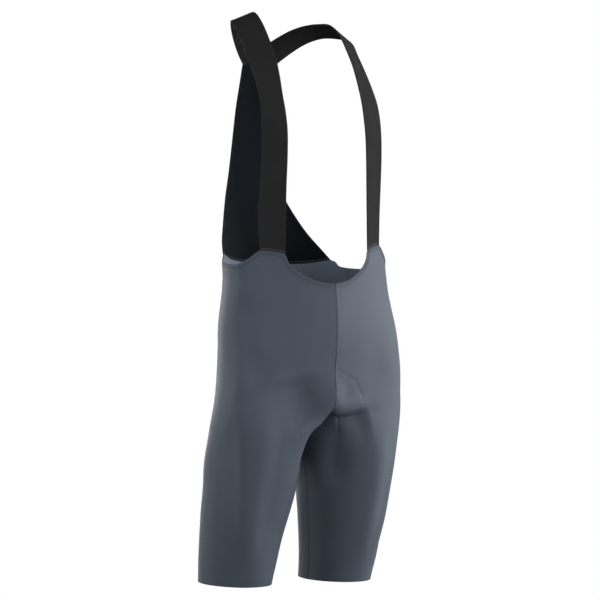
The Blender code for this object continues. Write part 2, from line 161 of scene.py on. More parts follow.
# neck-side edge x, y, height, then arm-side edge x, y, height
STRAP = (
    (0.0767, -0.0920, -0.3475, 0.1109, -0.0733, -0.3417),
    (0.0756, -0.0925, -0.2920, 0.1128, -0.0736, -0.2880),
    (0.0746, -0.0931, -0.2460, 0.1119, -0.0776, -0.2456),
    (0.0732, -0.0942, -0.2016, 0.1113, -0.0805, -0.2011),
    (0.0725, -0.0930, -0.1660, 0.1110, -0.0803, -0.1655),
    (0.0727, -0.0884, -0.1400, 0.1103, -0.0780, -0.1396),
    (0.0736, -0.0814, -0.1141, 0.1105, -0.0705, -0.1136),
    (0.0730, -0.0728, -0.0870, 0.1108, -0.0563, -0.0869),
    (0.0727, -0.0581, -0.0532, 0.1108, -0.0335, -0.0517),
    (0.0727, -0.0433, -0.0305, 0.1110, -0.0174, -0.0303),
    (0.0720, -0.0253, -0.0070, 0.1120, -0.0060, -0.0160),
    (0.0700, -0.0050, 0.0090, 0.1100, 0.0050, -0.0090),
    (0.0632, 0.0205, 0.0115, 0.0985, 0.0225, -0.0058),
    (0.0540, 0.0400, 0.0090, 0.0875, 0.0395, -0.0060),
    (0.0380, 0.0565, 0.0005, 0.0711, 0.0614, -0.0150),
    (0.0220, 0.0730, -0.0130, 0.0540, 0.0785, -0.0310),
    (0.0100, 0.0845, -0.0250, 0.0380, 0.0900, -0.0475),
    (0.0000, 0.0935, -0.0370, 0.0261, 0.0955, -0.0600),
)

# y, height, half width, drop of its sides for each metre outwards
PAD = (
    (-0.1120, -0.5250, 0.0060, 0.00),
    (-0.1115, -0.5330, 0.0280, 0.00),
    (-0.1110, -0.5450, 0.0420, 0.05),
    (-0.1115, -0.5600, 0.0540, 0.15),
    (-0.1080, -0.5830, 0.0620, 0.35),
    (-0.0920, -0.5990, 0.0640, 0.70),
    (-0.0660, -0.6130, 0.0600, 1.30),
    (-0.0380, -0.6250, 0.0520, 2.50),
    (-0.0120, -0.6300, 0.0480, 3.50),
    (0.0140, -0.6290, 0.0520, 2.50),
    (0.0380, -0.6200, 0.0620, 1.30),
    (0.0600, -0.6030, 0.0740, 0.60),
    (0.0770, -0.5740, 0.0840, 0.20),
    (0.0840, -0.5400, 0.0820, 0.00),
    (0.0850, -0.5150, 0.0680, 0.00),
    (0.0840, -0.5000, 0.0420, 0.00),
    (0.0830, -0.4930, 0.0120, 0.00),
)

# the wearer's right side is raised for each metre outwards: height, rise in front, rise behind
STANCE = (
    (0.0400, 0.100, 0.100),
    (-0.0500, 0.097, 0.097),
    (-0.1500, 0.040, 0.050),
    (-0.2500, -0.020, 0.030),
    (-0.3400, -0.045, 0.045),
    (-0.4500, -0.040, 0.010),
    (-0.6000, -0.015, 0.000),
    (-0.9000, 0.000, 0.000),
)
STANCE_FRONT_Y = -0.090
STANCE_BEHIND_Y = 0.0

# ---------------------------------------------------------------- sizes of the finer form

LEVELS = 3  # a cage cell becomes 8 by 8 faces
FITTING = (2, 0.9)  # bringing the smooth surface onto the cage's points: rounds, share each time
LOOK_GAP = -0.0002  # sewn edges are pressed into each other
EDGE_ROLL = 0.0005  # how far in from a cut edge the cloth starts to round over
# the rolled edge of a cut cloth: share of EDGE_ROLL inwards, share of the wall's thickness
EDGE_PROFILE = ((1.0, 0.0), (0.35, 0.08), (0.05, 0.3), (0.05, 0.7), (0.35, 0.92), (1.0, 1.0))

# Soft ridges and troughs of the knit, in millimetres: height, half width, and the points of its line.
# Two half widths are those to the left and the right of the line, going along it on the outside.
# A mirrored one is on both legs or both hips.
MM = 0.001
MIRRORED_FOLDS = (
    # the flatter outer side of the thigh
    (-2.4, 20, ((156, -40, -600), (154, -34, -680), (147, -26, -760), (139, -16, -830))),
    # the flatter halves of the belly
    (-2, 30, ((78, -100, -420), (84, -101, -470), (86, -102, -530), (82, -106, -565))),
    # behind the thigh, under the seat
    (-2.4, 10, ((30, 62, -602), (60, 72, -614), (95, 60, -618), (125, 30, -612))),
    (-1.2, 7, ((50, 68, -640), (85, 66, -650), (118, 40, -646))),
    # across the back of the knee end
    (-0.8, 6, ((70, 64, -775), (100, 68, -782), (130, 45, -776))),
    (-0.8, 5, ((62, 62, -812), (90, 72, -806), (112, 64, -812))),
    # from the side seam towards the seat
    (-1.4, 9, ((140, 10, -470), (115, 45, -500), (80, 70, -515))),
    (-1, 8, ((128, 15, -405), (100, 45, -415), (65, 66, -410))),
)
FOLDS = (
    # the ridge of the belly, along the seam
    (1.6, 22, ((0, -115, -400), (0, -118, -450), (0, -114, -520), (0, -112, -560))),
    (4, 15, ((0, -113, -530), (1, -112, -558), (1, -112, -585), (0, -105, -604))),
    # the hollow of the hip, deeper on the wearer's right
    (
        -8.5, 26,
        ((-138, -62, -395), (-140, -74, -445), (-138, -80, -495), (-126, -92, -530), (-108, -102, -552)),
    ),
    (1.6, 8, ((-140, -60, -402), (-128, -82, -408), (-112, -95, -412), (-95, -103, -410))),
    (-1.5, 30, ((132, -55, -415), (123, -85, -470), (112, -99, -515))),
    # the right thigh: its edge between the front and the outer side, and its flatter front
    (
        7, (30, 13),
        ((-148, -82, -545), (-146, -80, -575), (-137, -73, -670), (-128, -61, -746), (-117, -43, -835)),
    ),
    (
        -8, (50, 28),
        ((-80, -112, -555), (-84, -114, -590), (-89, -98, -680), (-92, -78, -750), (-94, -52, -835)),
    ),
    # the left thigh: the same edge, softer, and a ridge down its front
    (3.2, 11, ((146, -80, -575), (137, -73, -670), (128, -61, -746), (117, -43, -835))),
    (2.6, 18, ((94, -112, -600), (96, -97, -680), (97, -78, -750), (97, -52, -835))),
    # the groin on the wearer's right, steep towards the seam
    (-11, (26, 50), ((-64, -108, -525), (-58, -110, -556), (-50, -111, -586), (-40, -108, -615))),
    (-5, (15, 24), ((-46, -111, -548), (-40, -111, -566), (-34, -111, -584), (-28, -108, -602))),
    (-1, 4.5, ((-69, -108, -586), (-66, -107, -600), (-58, -104, -618), (-50, -100, -638))),
    # the inner thighs, which fall back under the crotch
    (-8, 16, ((-6, -104, -606), (-13, -103, -616), (-19, -100, -636), (-21, -91, -672), (-22, -83, -710))),
    (-7, 14, ((-4, -92, -604), (-11, -83, -618), (-16, -77, -636), (-20, -73, -655), (-22, -68, -680))),
    (-12, (34, 22), ((-8, -96, -598), (-2, -92, -616), (3, -86, -640), (7, -80, -675), (10, -72, -712))),
    # the groin on the wearer's left: the thigh falls back steeply under it
    (1.8, 8, ((-4, -112, -578), (24, -113, -575), (46, -113, -571), (68, -111, -564))),
    (
        -13, (9, 38),
        (
            (-10, -107.5, -605), (4, -108.5, -602), (18, -109.5, -599.2),
            (34, -110, -596.2), (52, -110, -592.5), (70, -109.5, -588),
        ),
    ),
)
FOLD_STEPS = 24  # straight stretches in the line of a fold
FOLD_REACH = 3  # how many half widths away from its line a fold is still felt
FOLD_ENDS = (0.3, 0.15)  # share of its line over which a fold fades, and what is left at its ends

UNEVEN = (0.0004, 0.045, 3.0)  # how far the cloth wanders from its form, over what length, seed
PUCKER = (0.0003, 0.0045, 9.0)  # the same along the seams
PUCKER_REACH = 0.006
PUCKER_LEAST = 0.02  # share of the pucker below which it is left out
SEAM_REACH = 0.02
LAP_HEIGHT = 0.0007  # the seam allowances that lie under one side of a seam
LAP_WIDTH = 0.0045
LAP_FADE = 0.002
LAP_REACH = 0.012

PAD_LINE_DEPTH = 0.0006  # the pad's edge, as it shows through the cloth
PAD_LINE_WIDTH = 0.0022
PAD_LINE_FADE = (-0.585, -0.560)
PAD_LINE_RIGHT = 0.35  # what of that line is seen on the wearer's right
PAD_LINE_STEP = 0.0015
PAD_LINE_REACH = 0.03
PAD_CLEAR = 0.0004  # least gap between the pad and the lining
PAD_CARRIERS = 12  # points of the knit that a point of the pad moves along with
PAD_CARRIER_GAP = 0.001  # added to their distances, so that the nearest doesn't count for all

CHANNEL = (0.0016, 0.0026)  # depth, half width
CHANNEL_MOST = 1.2  # where channels cross, their depth in channels
CHANNEL_FADE = 0.015
# across the pad, sideways run for each metre along, start, end
CHANNELS = ((0.0, 0.0, 0.060, 0.250), (0.016, 0.08, 0.045, 0.320))
CROSSINGS = (0.085, 0.150, 0.235, 0.290)  # channels that run across, by their place along the pad
CROSSING_BEND = 2.2
CROSSING_END = (0.050, 0.01)  # half length, fade

# ---------------------------------------------------------------- sewing

THREAD = 0.00017  # radius of a sewing thread
THREAD_SIDES = 5
# the rings of a stitch: share of its length, height and thickness in radii
THREAD_RINGS = ((0.0, -0.9, 0.6), (0.2, 0.55, 1.0), (0.8, 0.55, 1.0), (1.0, -0.9, 0.6))
SEAM_STITCH = (0.0014, 0.0019)  # a flat seam's stitches: half width, length along the seam
LAP_STITCH = (-0.0018, 0.0010)  # over the allowances' free edge: from and to, past LAP_WIDTH
OVERLOCK = (0.0003, 0.0026, 0.0028)  # over a cut edge: from, to, length along it
ARM_OVERLOCK = (0.0004, 0.0026, 0.0028)
# straight rows: length of a stitch and its step, and what shows of it
ROW_STITCH = (0.0024, 0.0016)
PALE_STITCH = (0.0022, 0.0020)
EDGE_STITCH = (0.0046, 0.0024)
# how far in from an edge or a seam each straight row runs
PALE_ROW = 0.0012
HEM_ROWS = (0.0022, 0.0052)
EDGE_ROWS = (0.0036, 0.0060)
ARM_ROW = 0.0020
JOIN_ROW = 0.0032
FREE_ROW = 0.0022
PALE_ROW_FROM = -0.605  # seams with their mean height above this, the two centre ones, have it
HEM_BELOW = -0.7
ARM_SIDE_FROM = 0.113  # x of the straps' outer edge
JOINED = 0.0012  # an edge this near the knit is sewn to it
SHORTEST_RUN = 4  # points

# name, colour, thickness in threads, material slot
THREADS = (
    ("threads_grey", (0.060, 0.073, 0.094), 1.0, "slate_knit"),
    ("threads_pale", (0.230, 0.250, 0.280), 1.3, "slate_knit"),
    ("threads_dark", (0.005, 0.007, 0.010), 2.4, "slate_knit"),
    ("threads_black", (0.010, 0.012, 0.015), 1.0, "black_knit"),
)
KNIT = ("front_left", "front_right", "back_left", "back_right")
SEAMS = (
    ("front_left", "front_right"),
    ("front_left", "back_left"),
    ("front_right", "back_right"),
    ("back_left", "back_right"),
)

# ---------------------------------------------------------------- looks

SLATE = (0.066, 0.081, 0.104)
BLACK = (0.005, 0.0067, 0.0095)
ELASTIC = (0.0255, 0.0255, 0.0260)
FOAM = (0.030, 0.032, 0.037)
KNIT_WALE = 0.0008
KNIT_COURSE = 0.0006
MESH_PITCH = 0.0016
MESH_RIB = 0.0006
ELASTIC_RIB = 0.0016
ELASTIC_WEFT = 0.0007
FOAM_DIMPLE = 0.006
THREAD_TWIST = 0.08
NOISE_SPAN = (0.3, 0.7)  # the values between which most of a noise lies
RUBBED_SPAN = (0.4, 0.7)
WORN_REACH = 0.004  # how far from a cut edge the cloth is rubbed paler

# ---------------------------------------------------------------- light and camera

CAMERA_AZIMUTH = -35.0
CAMERA_ELEVATION = 0.5
CAMERA_DISTANCE = 6.0
CAMERA_SIDE = 0.0123  # the picture's middle, to the right of the object's middle line
CAMERA_HEIGHT = -0.4172
CAMERA_LENS = 235.1
CAMERA_SENSOR = 36.0
LIGHT_DISTANCE = 2.6
# name, azimuth, elevation, size, power
LIGHTS = (
    ("front", 40.0, 8.0, (1.2, 1.4), 35.0),
    ("key", 78.0, 8.0, (1.2, 1.4), 93.0),
    ("low", -5.0, -22.0, (1.2, 1.2), 19.0),
    ("near_front", -35.0, 30.0, (1.6, 1.6), 24.0),
    ("near_side", -95.0, 5.0, (1.2, 1.6), 27.0),
    ("near_rim", -150.0, 5.0, (0.8, 1.6), 42.0),
    ("above", -35.0, 86.0, (0.5, 0.5), 16.0),
    ("behind", 165.0, 8.0, (1.0, 1.8), 55.0),
)
AMBIENT = 0.01  # light from the backdrop, and what of it comes up from below
BELOW = 0.02
BELOW_FADE = (-0.25, -0.1)
FLOOR_HEIGHT = -2.0
FLOOR_RADIUS = 8.0
FLOOR_SIDES = 96
FLOOR_GLOW = 0.85
FLOOR_COLOUR = (0.82, 0.82, 0.81, 1)
WHITE = (1, 1, 1, 1)

# ---------------------------------------------------------------- form, as in the solids

LEG_SPREAD = 1.15  # rows of the legs lie closer together near the torso
PARTING_FADE = 0.36  # share of the legs over which the torso's section fades
MIDDLE = 1e-6  # points this near the middle plane lie on it
RELAXING = (3, 0.35)  # rounds, share each time
STRAP_BASE_ROWS = 6  # rows over which a strap bends to its seam
PAD_SPREAD = 0.5  # how much closer the pad's columns lie near its middle
PAD_STEEP = (4, 1.5)  # more gap for each unit of drop, up to a drop
PAD_SMOOTHING = 4
PAD_TAPER = (3, 2)  # rows and columns from the edge to the full thickness


def smooth(table, where):
    """The other columns of a table at a value of its first, on one smooth curve through its rows."""
    rows = np.array(table, float)
    rows = rows[np.argsort(rows[:, 0])]
    steps, values = rows[:, 0], rows[:, 1:]
    slopes = np.gradient(values, steps, axis=0)
    where = float(np.clip(where, steps[0], steps[-1]))
    i = int(np.clip(np.searchsorted(steps, where) - 1, 0, len(steps) - 2))
    span = steps[i + 1] - steps[i]
    t = (where - steps[i]) / span
    return (
        values[i] * (2 * t**3 - 3 * t**2 + 1)
        + slopes[i] * span * (t**3 - 2 * t**2 + t)
        + values[i + 1] * (3 * t**2 - 2 * t**3)
        + slopes[i + 1] * span * (t**3 - t**2)
    )


def unit(vectors):
    return vectors / np.maximum(np.linalg.norm(vectors, axis=-1, keepdims=True), 1e-12)


def eased(share):
    """A share held between 0 and 1, with soft ends."""
    share = np.clip(share, 0, 1)
    return share * share * (3 - 2 * share)


def bell(away, width):
    """1 on a line, falling off softly beside it."""
    return np.exp(-((away / width) ** 2))


def run_along(points):
    """Distance along a line of points, from its first."""
    return np.concatenate([[0], np.cumsum(np.linalg.norm(np.diff(points, axis=0), axis=1))])


def run_across(grid, start):
    """Distance along each row of a grid, from one of its columns."""
    steps = np.linalg.norm(np.diff(grid, axis=1), axis=2)
    run = np.concatenate([np.zeros((len(grid), 1)), np.cumsum(steps, axis=1)], axis=1)
    return run - run[:, start : start + 1]


def torso_point(angle, height):
    """A place round the torso. The angle is in degrees from the centre front."""
    half_width, widest_y, front_y, back_y, power = smooth(TORSO, height)
    power += (2 - power) * np.clip((angle - SIDE_FROM) / (90 - SIDE_FROM), 0, 1) ** 2
    across, along = abs(np.sin(np.radians(angle))), np.cos(np.radians(angle))
    if along >= 0:
        x = half_width * across ** (2 / power)
        y = widest_y - (widest_y - front_y) * along ** (2 / power)
    else:
        x = half_width * across
        y = widest_y + (back_y - widest_y) * -along
    return np.array([x, y, height])


def leg_point(turn, height):
    """A place round the leg. The turn is in degrees from its inner side, by the front."""
    centre_x, centre_y, half_width, half_depth = smooth(LEG, height)
    x = centre_x - half_width * np.cos(np.radians(turn))
    y = centre_y - half_depth * np.sin(np.radians(turn))
    return np.array([x, y, height])


def torso_grid(top):
    """Rows of points from the upper edge down to where the legs part."""
    columns = len(top) - 1
    torso = np.zeros((TORSO_ROWS + 1, columns + 1, 3))
    for row, down in enumerate(np.linspace(0, 1, TORSO_ROWS + 1)):
        for column, (angle, edge) in enumerate(top):
            angle += (180 * column / columns - angle) * down
            torso[row, column] = torso_point(angle, edge + (HIP_HEIGHT - edge) * down)
    torso[:, [0, -1], 0] = 0
    return torso


def leg_grid(parting):
    """Rows of points from the line where the leg parts from the torso down to its hem."""
    around = len(parting)
    leg = np.zeros((LEG_ROWS + 1, around, 3))
    for column, start in enumerate(parting):
        turn = 360 * column / around
        shift = start - leg_point(turn, start[2])
        hem = leg_point(turn, HEM_HEIGHT)
        hem_height = HEM_HEIGHT + HEM_SLOPE * (hem[1] - smooth(LEG, HEM_HEIGHT)[1])
        for row in range(LEG_ROWS + 1):
            down = (row / LEG_ROWS) ** LEG_SPREAD
            height = start[2] + (hem_height - start[2]) * down
            leg[row, column] = leg_point(turn, height) + shift * eased(1 - down / PARTING_FADE)
    return leg


def half_shorts():
    """The cage of the half at +X: points, faces, their cloth coordinates, piece tags and torso ids."""
    torso = torso_grid(FRONT_TOP + BACK_TOP)
    side = len(FRONT_TOP) - 1
    first = [CROTCH, *CROTCH_FRONT]
    last = CROTCH_BACK[::-1]
    parting = [(0, *place) for place in first] + list(torso[-1]) + [(0, *place) for place in last]
    leg = leg_grid(np.array(parting))
    around = len(parting)

    torso_ids = np.arange(torso.size // 3).reshape(torso.shape[:2])
    leg_ids = np.zeros(leg.shape[:2], int)
    leg_ids[0, len(first) : around - len(last)] = torso_ids[-1]
    leg_ids[0, : len(first)] = torso_ids.size + np.arange(len(first))
    leg_ids[0, around - len(last) :] = torso_ids.size + len(first) + np.arange(len(last))
    more = torso_ids.size + len(first) + len(last)
    leg_ids[1:] = more + np.arange(LEG_ROWS * around).reshape(LEG_ROWS, around)
    points = np.zeros((more + LEG_ROWS * around, 3))
    points[leg_ids] = leg
    points[torso_ids] = torso

    torso_cloth = np.stack([run_across(torso, side), torso[:, :, 2]], axis=2)
    closed = np.concatenate([leg, leg[:, :1]], axis=1)
    leg_side = len(first) + side
    down = run_across(closed.transpose(1, 0, 2), 0).T
    leg_cloth = np.stack([run_across(closed, leg_side), closed[0, :, 2] - down], axis=2)

    faces, cloth, tags = [], [], []
    leg_ids = np.concatenate([leg_ids, leg_ids[:, :1]], axis=1)
    for ids, places, split in ((torso_ids, torso_cloth, side), (leg_ids, leg_cloth, leg_side)):
        for row in range(ids.shape[0] - 1):
            for column in range(ids.shape[1] - 1):
                corners = [(row, column), (row + 1, column), (row + 1, column + 1), (row, column + 1)]
                faces.append([ids[corner] for corner in corners])
                cloth.append([places[corner] for corner in corners])
                tags.append("front" if column < split else "back")
    return points, np.array(faces), np.array(cloth), tags, torso_ids


def relaxed(points, faces):
    """Points drawn towards their neighbours, with free edges and the middle plane kept."""
    ends = np.stack([faces, np.roll(faces, -1, axis=1)], axis=2).reshape(-1, 2)
    edges, counts = np.unique(np.sort(ends, axis=1), axis=0, return_counts=True)
    fixed = np.abs(points[:, 0]) < MIDDLE
    free = edges[counts == 1]
    free = free[~(fixed[free[:, 0]] & fixed[free[:, 1]])]
    fixed[free.ravel()] = True
    near = np.bincount(edges.ravel(), minlength=len(points))[:, None]
    rounds, share = RELAXING
    for _ in range(rounds):
        total = np.zeros_like(points)
        np.add.at(total, edges[:, 0], points[edges[:, 1]])
        np.add.at(total, edges[:, 1], points[edges[:, 0]])
        points = np.where(fixed[:, None], points, points + share * (total / near - points))
    return points


def normals_of(points, faces):
    across = np.cross(
        points[faces[:, 2]] - points[faces[:, 0]], points[faces[:, 3]] - points[faces[:, 1]]
    )
    normals = np.zeros_like(points)
    for corner in range(4):
        np.add.at(normals, faces[:, corner], across)
    return unit(normals)


def stanced(points):
    """Points lifted to the origin's height, and leaning as the wearer stands."""
    points = points.copy()
    for point in points:
        front, behind = smooth(STANCE, point[2])
        share = eased((point[1] - STANCE_FRONT_Y) / (STANCE_BEHIND_Y - STANCE_FRONT_Y))
        point[2] += ORIGIN_LIFT - point[0] * (front + (behind - front) * share)
    return points


def back_panel_grid(shorts, torso_ids):
    """The back panel, from the shorts' upper edge to the V at the neck, left to right."""
    seam = shorts[torso_ids[0, PANEL_FROM:]]
    seam = np.vstack([seam, seam[-2::-1] * [-1, 1, 1]])
    low, high = BACK_PANEL[0][0], BACK_PANEL[-1][0]
    across = seam[:, 0] / seam[0, 0]
    grid = np.zeros((PANEL_ROWS + 1, len(seam), 3))
    ups = np.linspace(0, 1, PANEL_ROWS + 1)
    top = NECK[2] + (high - NECK[2]) * np.abs(across)
    for row, up in enumerate(ups):
        half_width, edge_y, middle_y = smooth(BACK_PANEL, low + (high - low) * up)
        y = middle_y + (edge_y - middle_y) * across**2
        grid[row] = np.stack([across * half_width, y, seam[:, 2] * (1 - up) + top * up], axis=1)
    ridge = NECK[1] + (BACK_PANEL[-1][2] - NECK[1]) * np.abs(across)
    for row, up in enumerate(ups[1:-1], 1):
        grid[row] += (seam - grid[0]) * (1 - up) ** 3
        grid[row, :, 1] += (ridge - grid[-1, :, 1]) * up**6
    grid[0] = seam
    grid[-1, :, 1] = ridge
    return grid


def strap_grid(shorts, torso_ids):
    """The +X strap, from the shorts to the back panel, neck side to arm side."""
    rows = np.array(STRAP, float)
    length = run_along((rows[:, :3] + rows[:, 3:]) / 2)
    table = np.column_stack([length / length[-1], rows])
    base = shorts[torso_ids[0, STRAP_AT[0] : STRAP_AT[1] + 1]]
    shares = np.linspace(0, 1, STRAP_COLUMNS + 1)[:, None]
    grid = np.zeros((STRAP_ROWS + 1, STRAP_COLUMNS + 1, 3))
    for row in range(STRAP_ROWS + 1):
        edges = smooth(table, row / STRAP_ROWS)
        grid[row] = edges[:3] * (1 - shares) + edges[3:] * shares
    shift = base - grid[0]
    for row in range(STRAP_BASE_ROWS):
        grid[row] += shift * (1 - row / STRAP_BASE_ROWS) ** 2
    return grid


def surface(points, faces):
    """A tree that finds the nearest place on a surface."""
    return BVHTree.FromPolygons(points.tolist(), faces.tolist())


def from_ends(count):
    """How far each of some rows is from the nearer end."""
    return np.minimum(np.arange(count), np.arange(count)[::-1])


def pad_grids(shorts, faces):
    """The pad's under and upper sides, on the lining of the shorts."""
    inner = shorts - normals_of(shorts, faces) * WALL
    lining = np.vstack([inner, inner * [-1, 1, 1]])
    tree = surface(lining, np.vstack([faces, faces[:, ::-1] + len(inner)]))
    table = np.array(PAD, float)
    length = run_along(table[:, :2])
    table = np.column_stack([length / length[-1], table])
    under = np.zeros((PAD_ROWS + 1, PAD_COLUMNS + 1, 3))
    over = np.zeros_like(under)
    for row in range(PAD_ROWS + 1):
        y, height, half_width, drop = smooth(table, row / PAD_ROWS)
        way = unit(np.array([1, 0, -drop]))
        for column in range(PAD_COLUMNS + 1):
            share = 2 * column / PAD_COLUMNS - 1
            share *= abs(share) ** PAD_SPREAD
            reach = half_width * abs(share)
            guess = Vector((np.sign(share) * way[0] * reach, y, height + way[2] * reach))
            place, normal, _, _ = tree.find_nearest(guess)
            place, normal = np.array(place), np.array(normal)
            if abs(share) < MIDDLE:
                normal[0] = 0
                place[0] = 0
            gap = PAD_GAP * (1 + PAD_STEEP[0] * min(drop, PAD_STEEP[1]))
            gap += PAD_RIDGE_GAP * (1 - abs(share)) ** 2
            under[row, column] = place - unit(normal) * gap
            over[row, column] = unit(normal)
    for _ in range(PAD_SMOOTHING):
        over[1:-1, 1:-1] += over[:-2, 1:-1] + over[2:, 1:-1] + over[1:-1, :-2] + over[1:-1, 2:]
        over = unit(over)
    ends = np.clip(from_ends(PAD_ROWS + 1) / PAD_TAPER[0], 0, 1)
    sides = np.clip(from_ends(PAD_COLUMNS + 1) / PAD_TAPER[1], 0, 1)
    full = ends[:, None] * sides
    thickness = PAD_EDGE_THICKNESS + (PAD_THICKNESS - PAD_EDGE_THICKNESS) * full
    return under, under - over * thickness[:, :, None]


# ---------------------------------------------------------------- fine meshes


def placed(name, data):
    """A new object in the scene."""
    obj = bpy.data.objects.new(name, data)
    bpy.context.scene.collection.objects.link(obj)
    return obj


def new_mesh(name, points, faces, cloth=None):
    """A mesh, with the cloth's own coordinates as its UV map where they are given."""
    mesh = bpy.data.meshes.new(name)
    mesh.from_pydata(points.tolist(), [], faces)
    if cloth is not None:
        layer = mesh.uv_layers.new(name="cloth")
        layer.data.foreach_set("uv", np.asarray(cloth, np.float32).ravel())
    return mesh


def new_piece(name, points, faces, material, cloth=None):
    """A smooth-shaded object of one material."""
    mesh = new_mesh(name, points, faces, cloth)
    mesh.materials.append(material)
    mesh.polygons.foreach_set("use_smooth", np.ones(len(mesh.polygons), bool))
    mesh.update()
    return placed(name, mesh)


def put_values(mesh, name, values, kind="FLOAT", domain="POINT"):
    mesh.attributes.new(name, kind, domain).data.foreach_set("value", values)


def got_values(data, key, count, kind=np.float32):
    values = np.empty(count, kind)
    data.foreach_get(key, values)
    return values


def whole_shorts(points, faces, cloth, tags):
    """Both halves of the shorts as one cage, joined along the middle plane."""
    middle = np.abs(points[:, 0]) < MIDDLE
    other = np.arange(len(points))
    other[~middle] = len(points) + np.arange((~middle).sum())
    every = np.vstack([points, points[~middle] * [-1, 1, 1]])
    every_face = np.vstack([faces, other[faces][:, ::-1]])
    every_cloth = np.concatenate([cloth, (cloth * [-1, 1])[:, ::-1]])
    every_tag = [tag + side for side in ("_left", "_right") for tag in tags]
    return every, every_face, every_cloth, every_tag


def grid_cage(grid, turned=False):
    """Points, faces and cloth coordinates of a grid of rows of points."""
    rows, columns = grid.shape[:2]
    run_u = run_across(grid, columns // 2)
    run_v = run_across(grid.transpose(1, 0, 2), 0).T
    places = np.stack([run_u, run_v], axis=2).reshape(-1, 2)
    first = (np.arange(rows - 1)[:, None] * columns + np.arange(columns - 1)).reshape(-1, 1)
    faces = first + [0, 1, columns + 1, columns]
    if turned:
        faces = faces[:, ::-1]
    return grid.reshape(-1, 3), faces, places[faces]


def subdivided(points, faces, cloth, tags):
    """The points, faces, cloth coordinates and tags of the smooth surface of a cage."""
    mesh = new_mesh("cage", points, faces.tolist(), cloth)
    put_values(mesh, "tag", np.asarray(tags, np.int32), "INT", "FACE")
    cage = placed("cage", mesh)
    modifier = cage.modifiers.new("smooth", "SUBSURF")
    modifier.levels = LEVELS
    modifier.boundary_smooth = "PRESERVE_CORNERS"
    modifier.uv_smooth = "NONE"
    fine = bpy.data.meshes.new_from_object(cage.evaluated_get(bpy.context.evaluated_depsgraph_get()))
    count = len(fine.polygons)
    co = got_values(fine.vertices, "co", len(fine.vertices) * 3)
    ids = got_values(fine.loops, "vertex_index", count * 4, np.int32)
    uv = got_values(fine.uv_layers[0].data, "uv", count * 8)
    tag = got_values(fine.attributes["tag"].data, "value", count, np.int32)
    bpy.data.objects.remove(cage)
    bpy.data.meshes.remove(mesh)
    bpy.data.meshes.remove(fine)
    return (
        co.reshape(-1, 3).astype(float),
        ids.reshape(-1, 4).astype(int),
        uv.reshape(-1, 4, 2).astype(float),
        tag,
    )


def fine_form(points, faces, cloth, tags=None):
    """A smooth surface through the cage's points."""
    tags = tags or [""] * len(faces)
    names = sorted(set(tags))
    numbers = [names.index(tag) for tag in tags]
    cage = points.copy()
    rounds, share = FITTING
    for _ in range(rounds):
        reached = subdivided(cage, faces, cloth, numbers)[0][: len(points)]
        cage += share * (points - reached)
    co, ids, uv, tag = subdivided(cage, faces, cloth, numbers)
    return SimpleNamespace(
        points=co, faces=ids, cloth=uv, tags=np.array(names)[tag], normals=normals_of(co, ids)
    )


def border_of(faces, count):
    """The outline's edges as start, end, and the face and corner that each comes from."""
    start = faces.ravel()
    end = np.roll(faces, -1, axis=1).ravel()
    where = np.flatnonzero(~np.isin(start * count + end, end * count + start))
    return start[where], end[where], where // 4, where % 4


def inward_ways(points, normals, start, end):
    """For each point of the outline, the way along the cloth away from its edge."""
    ways = np.zeros_like(points)
    along = unit(points[end] - points[start])
    np.add.at(ways, start, along)
    np.add.at(ways, end, along)
    return unit(np.cross(normals, ways))


def shell(name, form, tag, wall, material, relief=None):
    """A closed thin cloth on the form's faces with that tag, with rolled edges."""
    chosen = form.faces[form.tags == tag]
    cloth = form.cloth[form.tags == tag]
    used, faces = np.unique(chosen, return_inverse=True)
    faces = faces.reshape(-1, 4)
    points, normals = form.points[used], form.normals[used]
    if relief is not None:
        points = points + normals * relief(tag, points)[:, None]
        normals = normals_of(points, faces)
    start, end, face, corner = border_of(faces, len(points))
    ways = inward_ways(points, normals, start, end)
    edge = np.unique(start)
    ring = np.full(len(points), -1)
    ring[edge] = np.arange(len(edge))

    def at_edge(share, depth):
        inwards = LOOK_GAP / 2 + EDGE_ROLL * share
        return points[edge] + ways[edge] * inwards - normals[edge] * wall * depth

    outer = points.copy()
    outer[edge] = at_edge(*EDGE_PROFILE[0])
    inner = points - normals * wall
    inner[edge] = at_edge(*EDGE_PROFILE[-1])
    loops = [at_edge(*place) for place in EDGE_PROFILE[1:-1]]
    count = len(points)
    between = [2 * count + i * len(edge) + np.arange(len(edge)) for i in range(len(loops))]
    rows = [edge, *between, edge + count]
    every_face = [faces, faces[:, ::-1] + count]
    every_cloth = [cloth, cloth[:, ::-1]]
    start_cloth, end_cloth = cloth[face, corner], cloth[face, (corner + 1) % 4]
    rim_cloth = np.stack([end_cloth, start_cloth, start_cloth, end_cloth], axis=1)
    a, b = ring[start], ring[end]
    for upper, lower in zip(rows[:-1], rows[1:]):
        every_face.append(np.stack([upper[b], upper[a], lower[a], lower[b]], axis=1))
        every_cloth.append(rim_cloth)
    every_face, every_cloth = np.vstack(every_face), np.concatenate(every_cloth)
    every_point = np.vstack([outer, inner, *loops])
    obj = new_piece(name, every_point, every_face.tolist(), material, every_cloth)
    side = np.zeros(len(every_point), np.float32)
    near = np.ones(len(every_point), np.float32)
    side[count : 2 * count] = 1
    close = 1 - eased(distance_to(points, points[edge], 2 * WORN_REACH) / WORN_REACH)
    near[: 2 * count] = np.tile(close, 2)
    put_values(obj.data, "inner_side", side)
    put_values(obj.data, "near_edge", near)
    return obj, SimpleNamespace(points=outer, faces=faces, normals=normals, start=start, end=end)


def close_points(points, step):
    """Points about a step apart on the straight stretches between some points."""
    length = run_along(points)
    places = np.linspace(0, 1, int(length[-1] / step) + 1) * length[-1]
    return np.stack([np.interp(places, length, column) for column in points.T], axis=1)


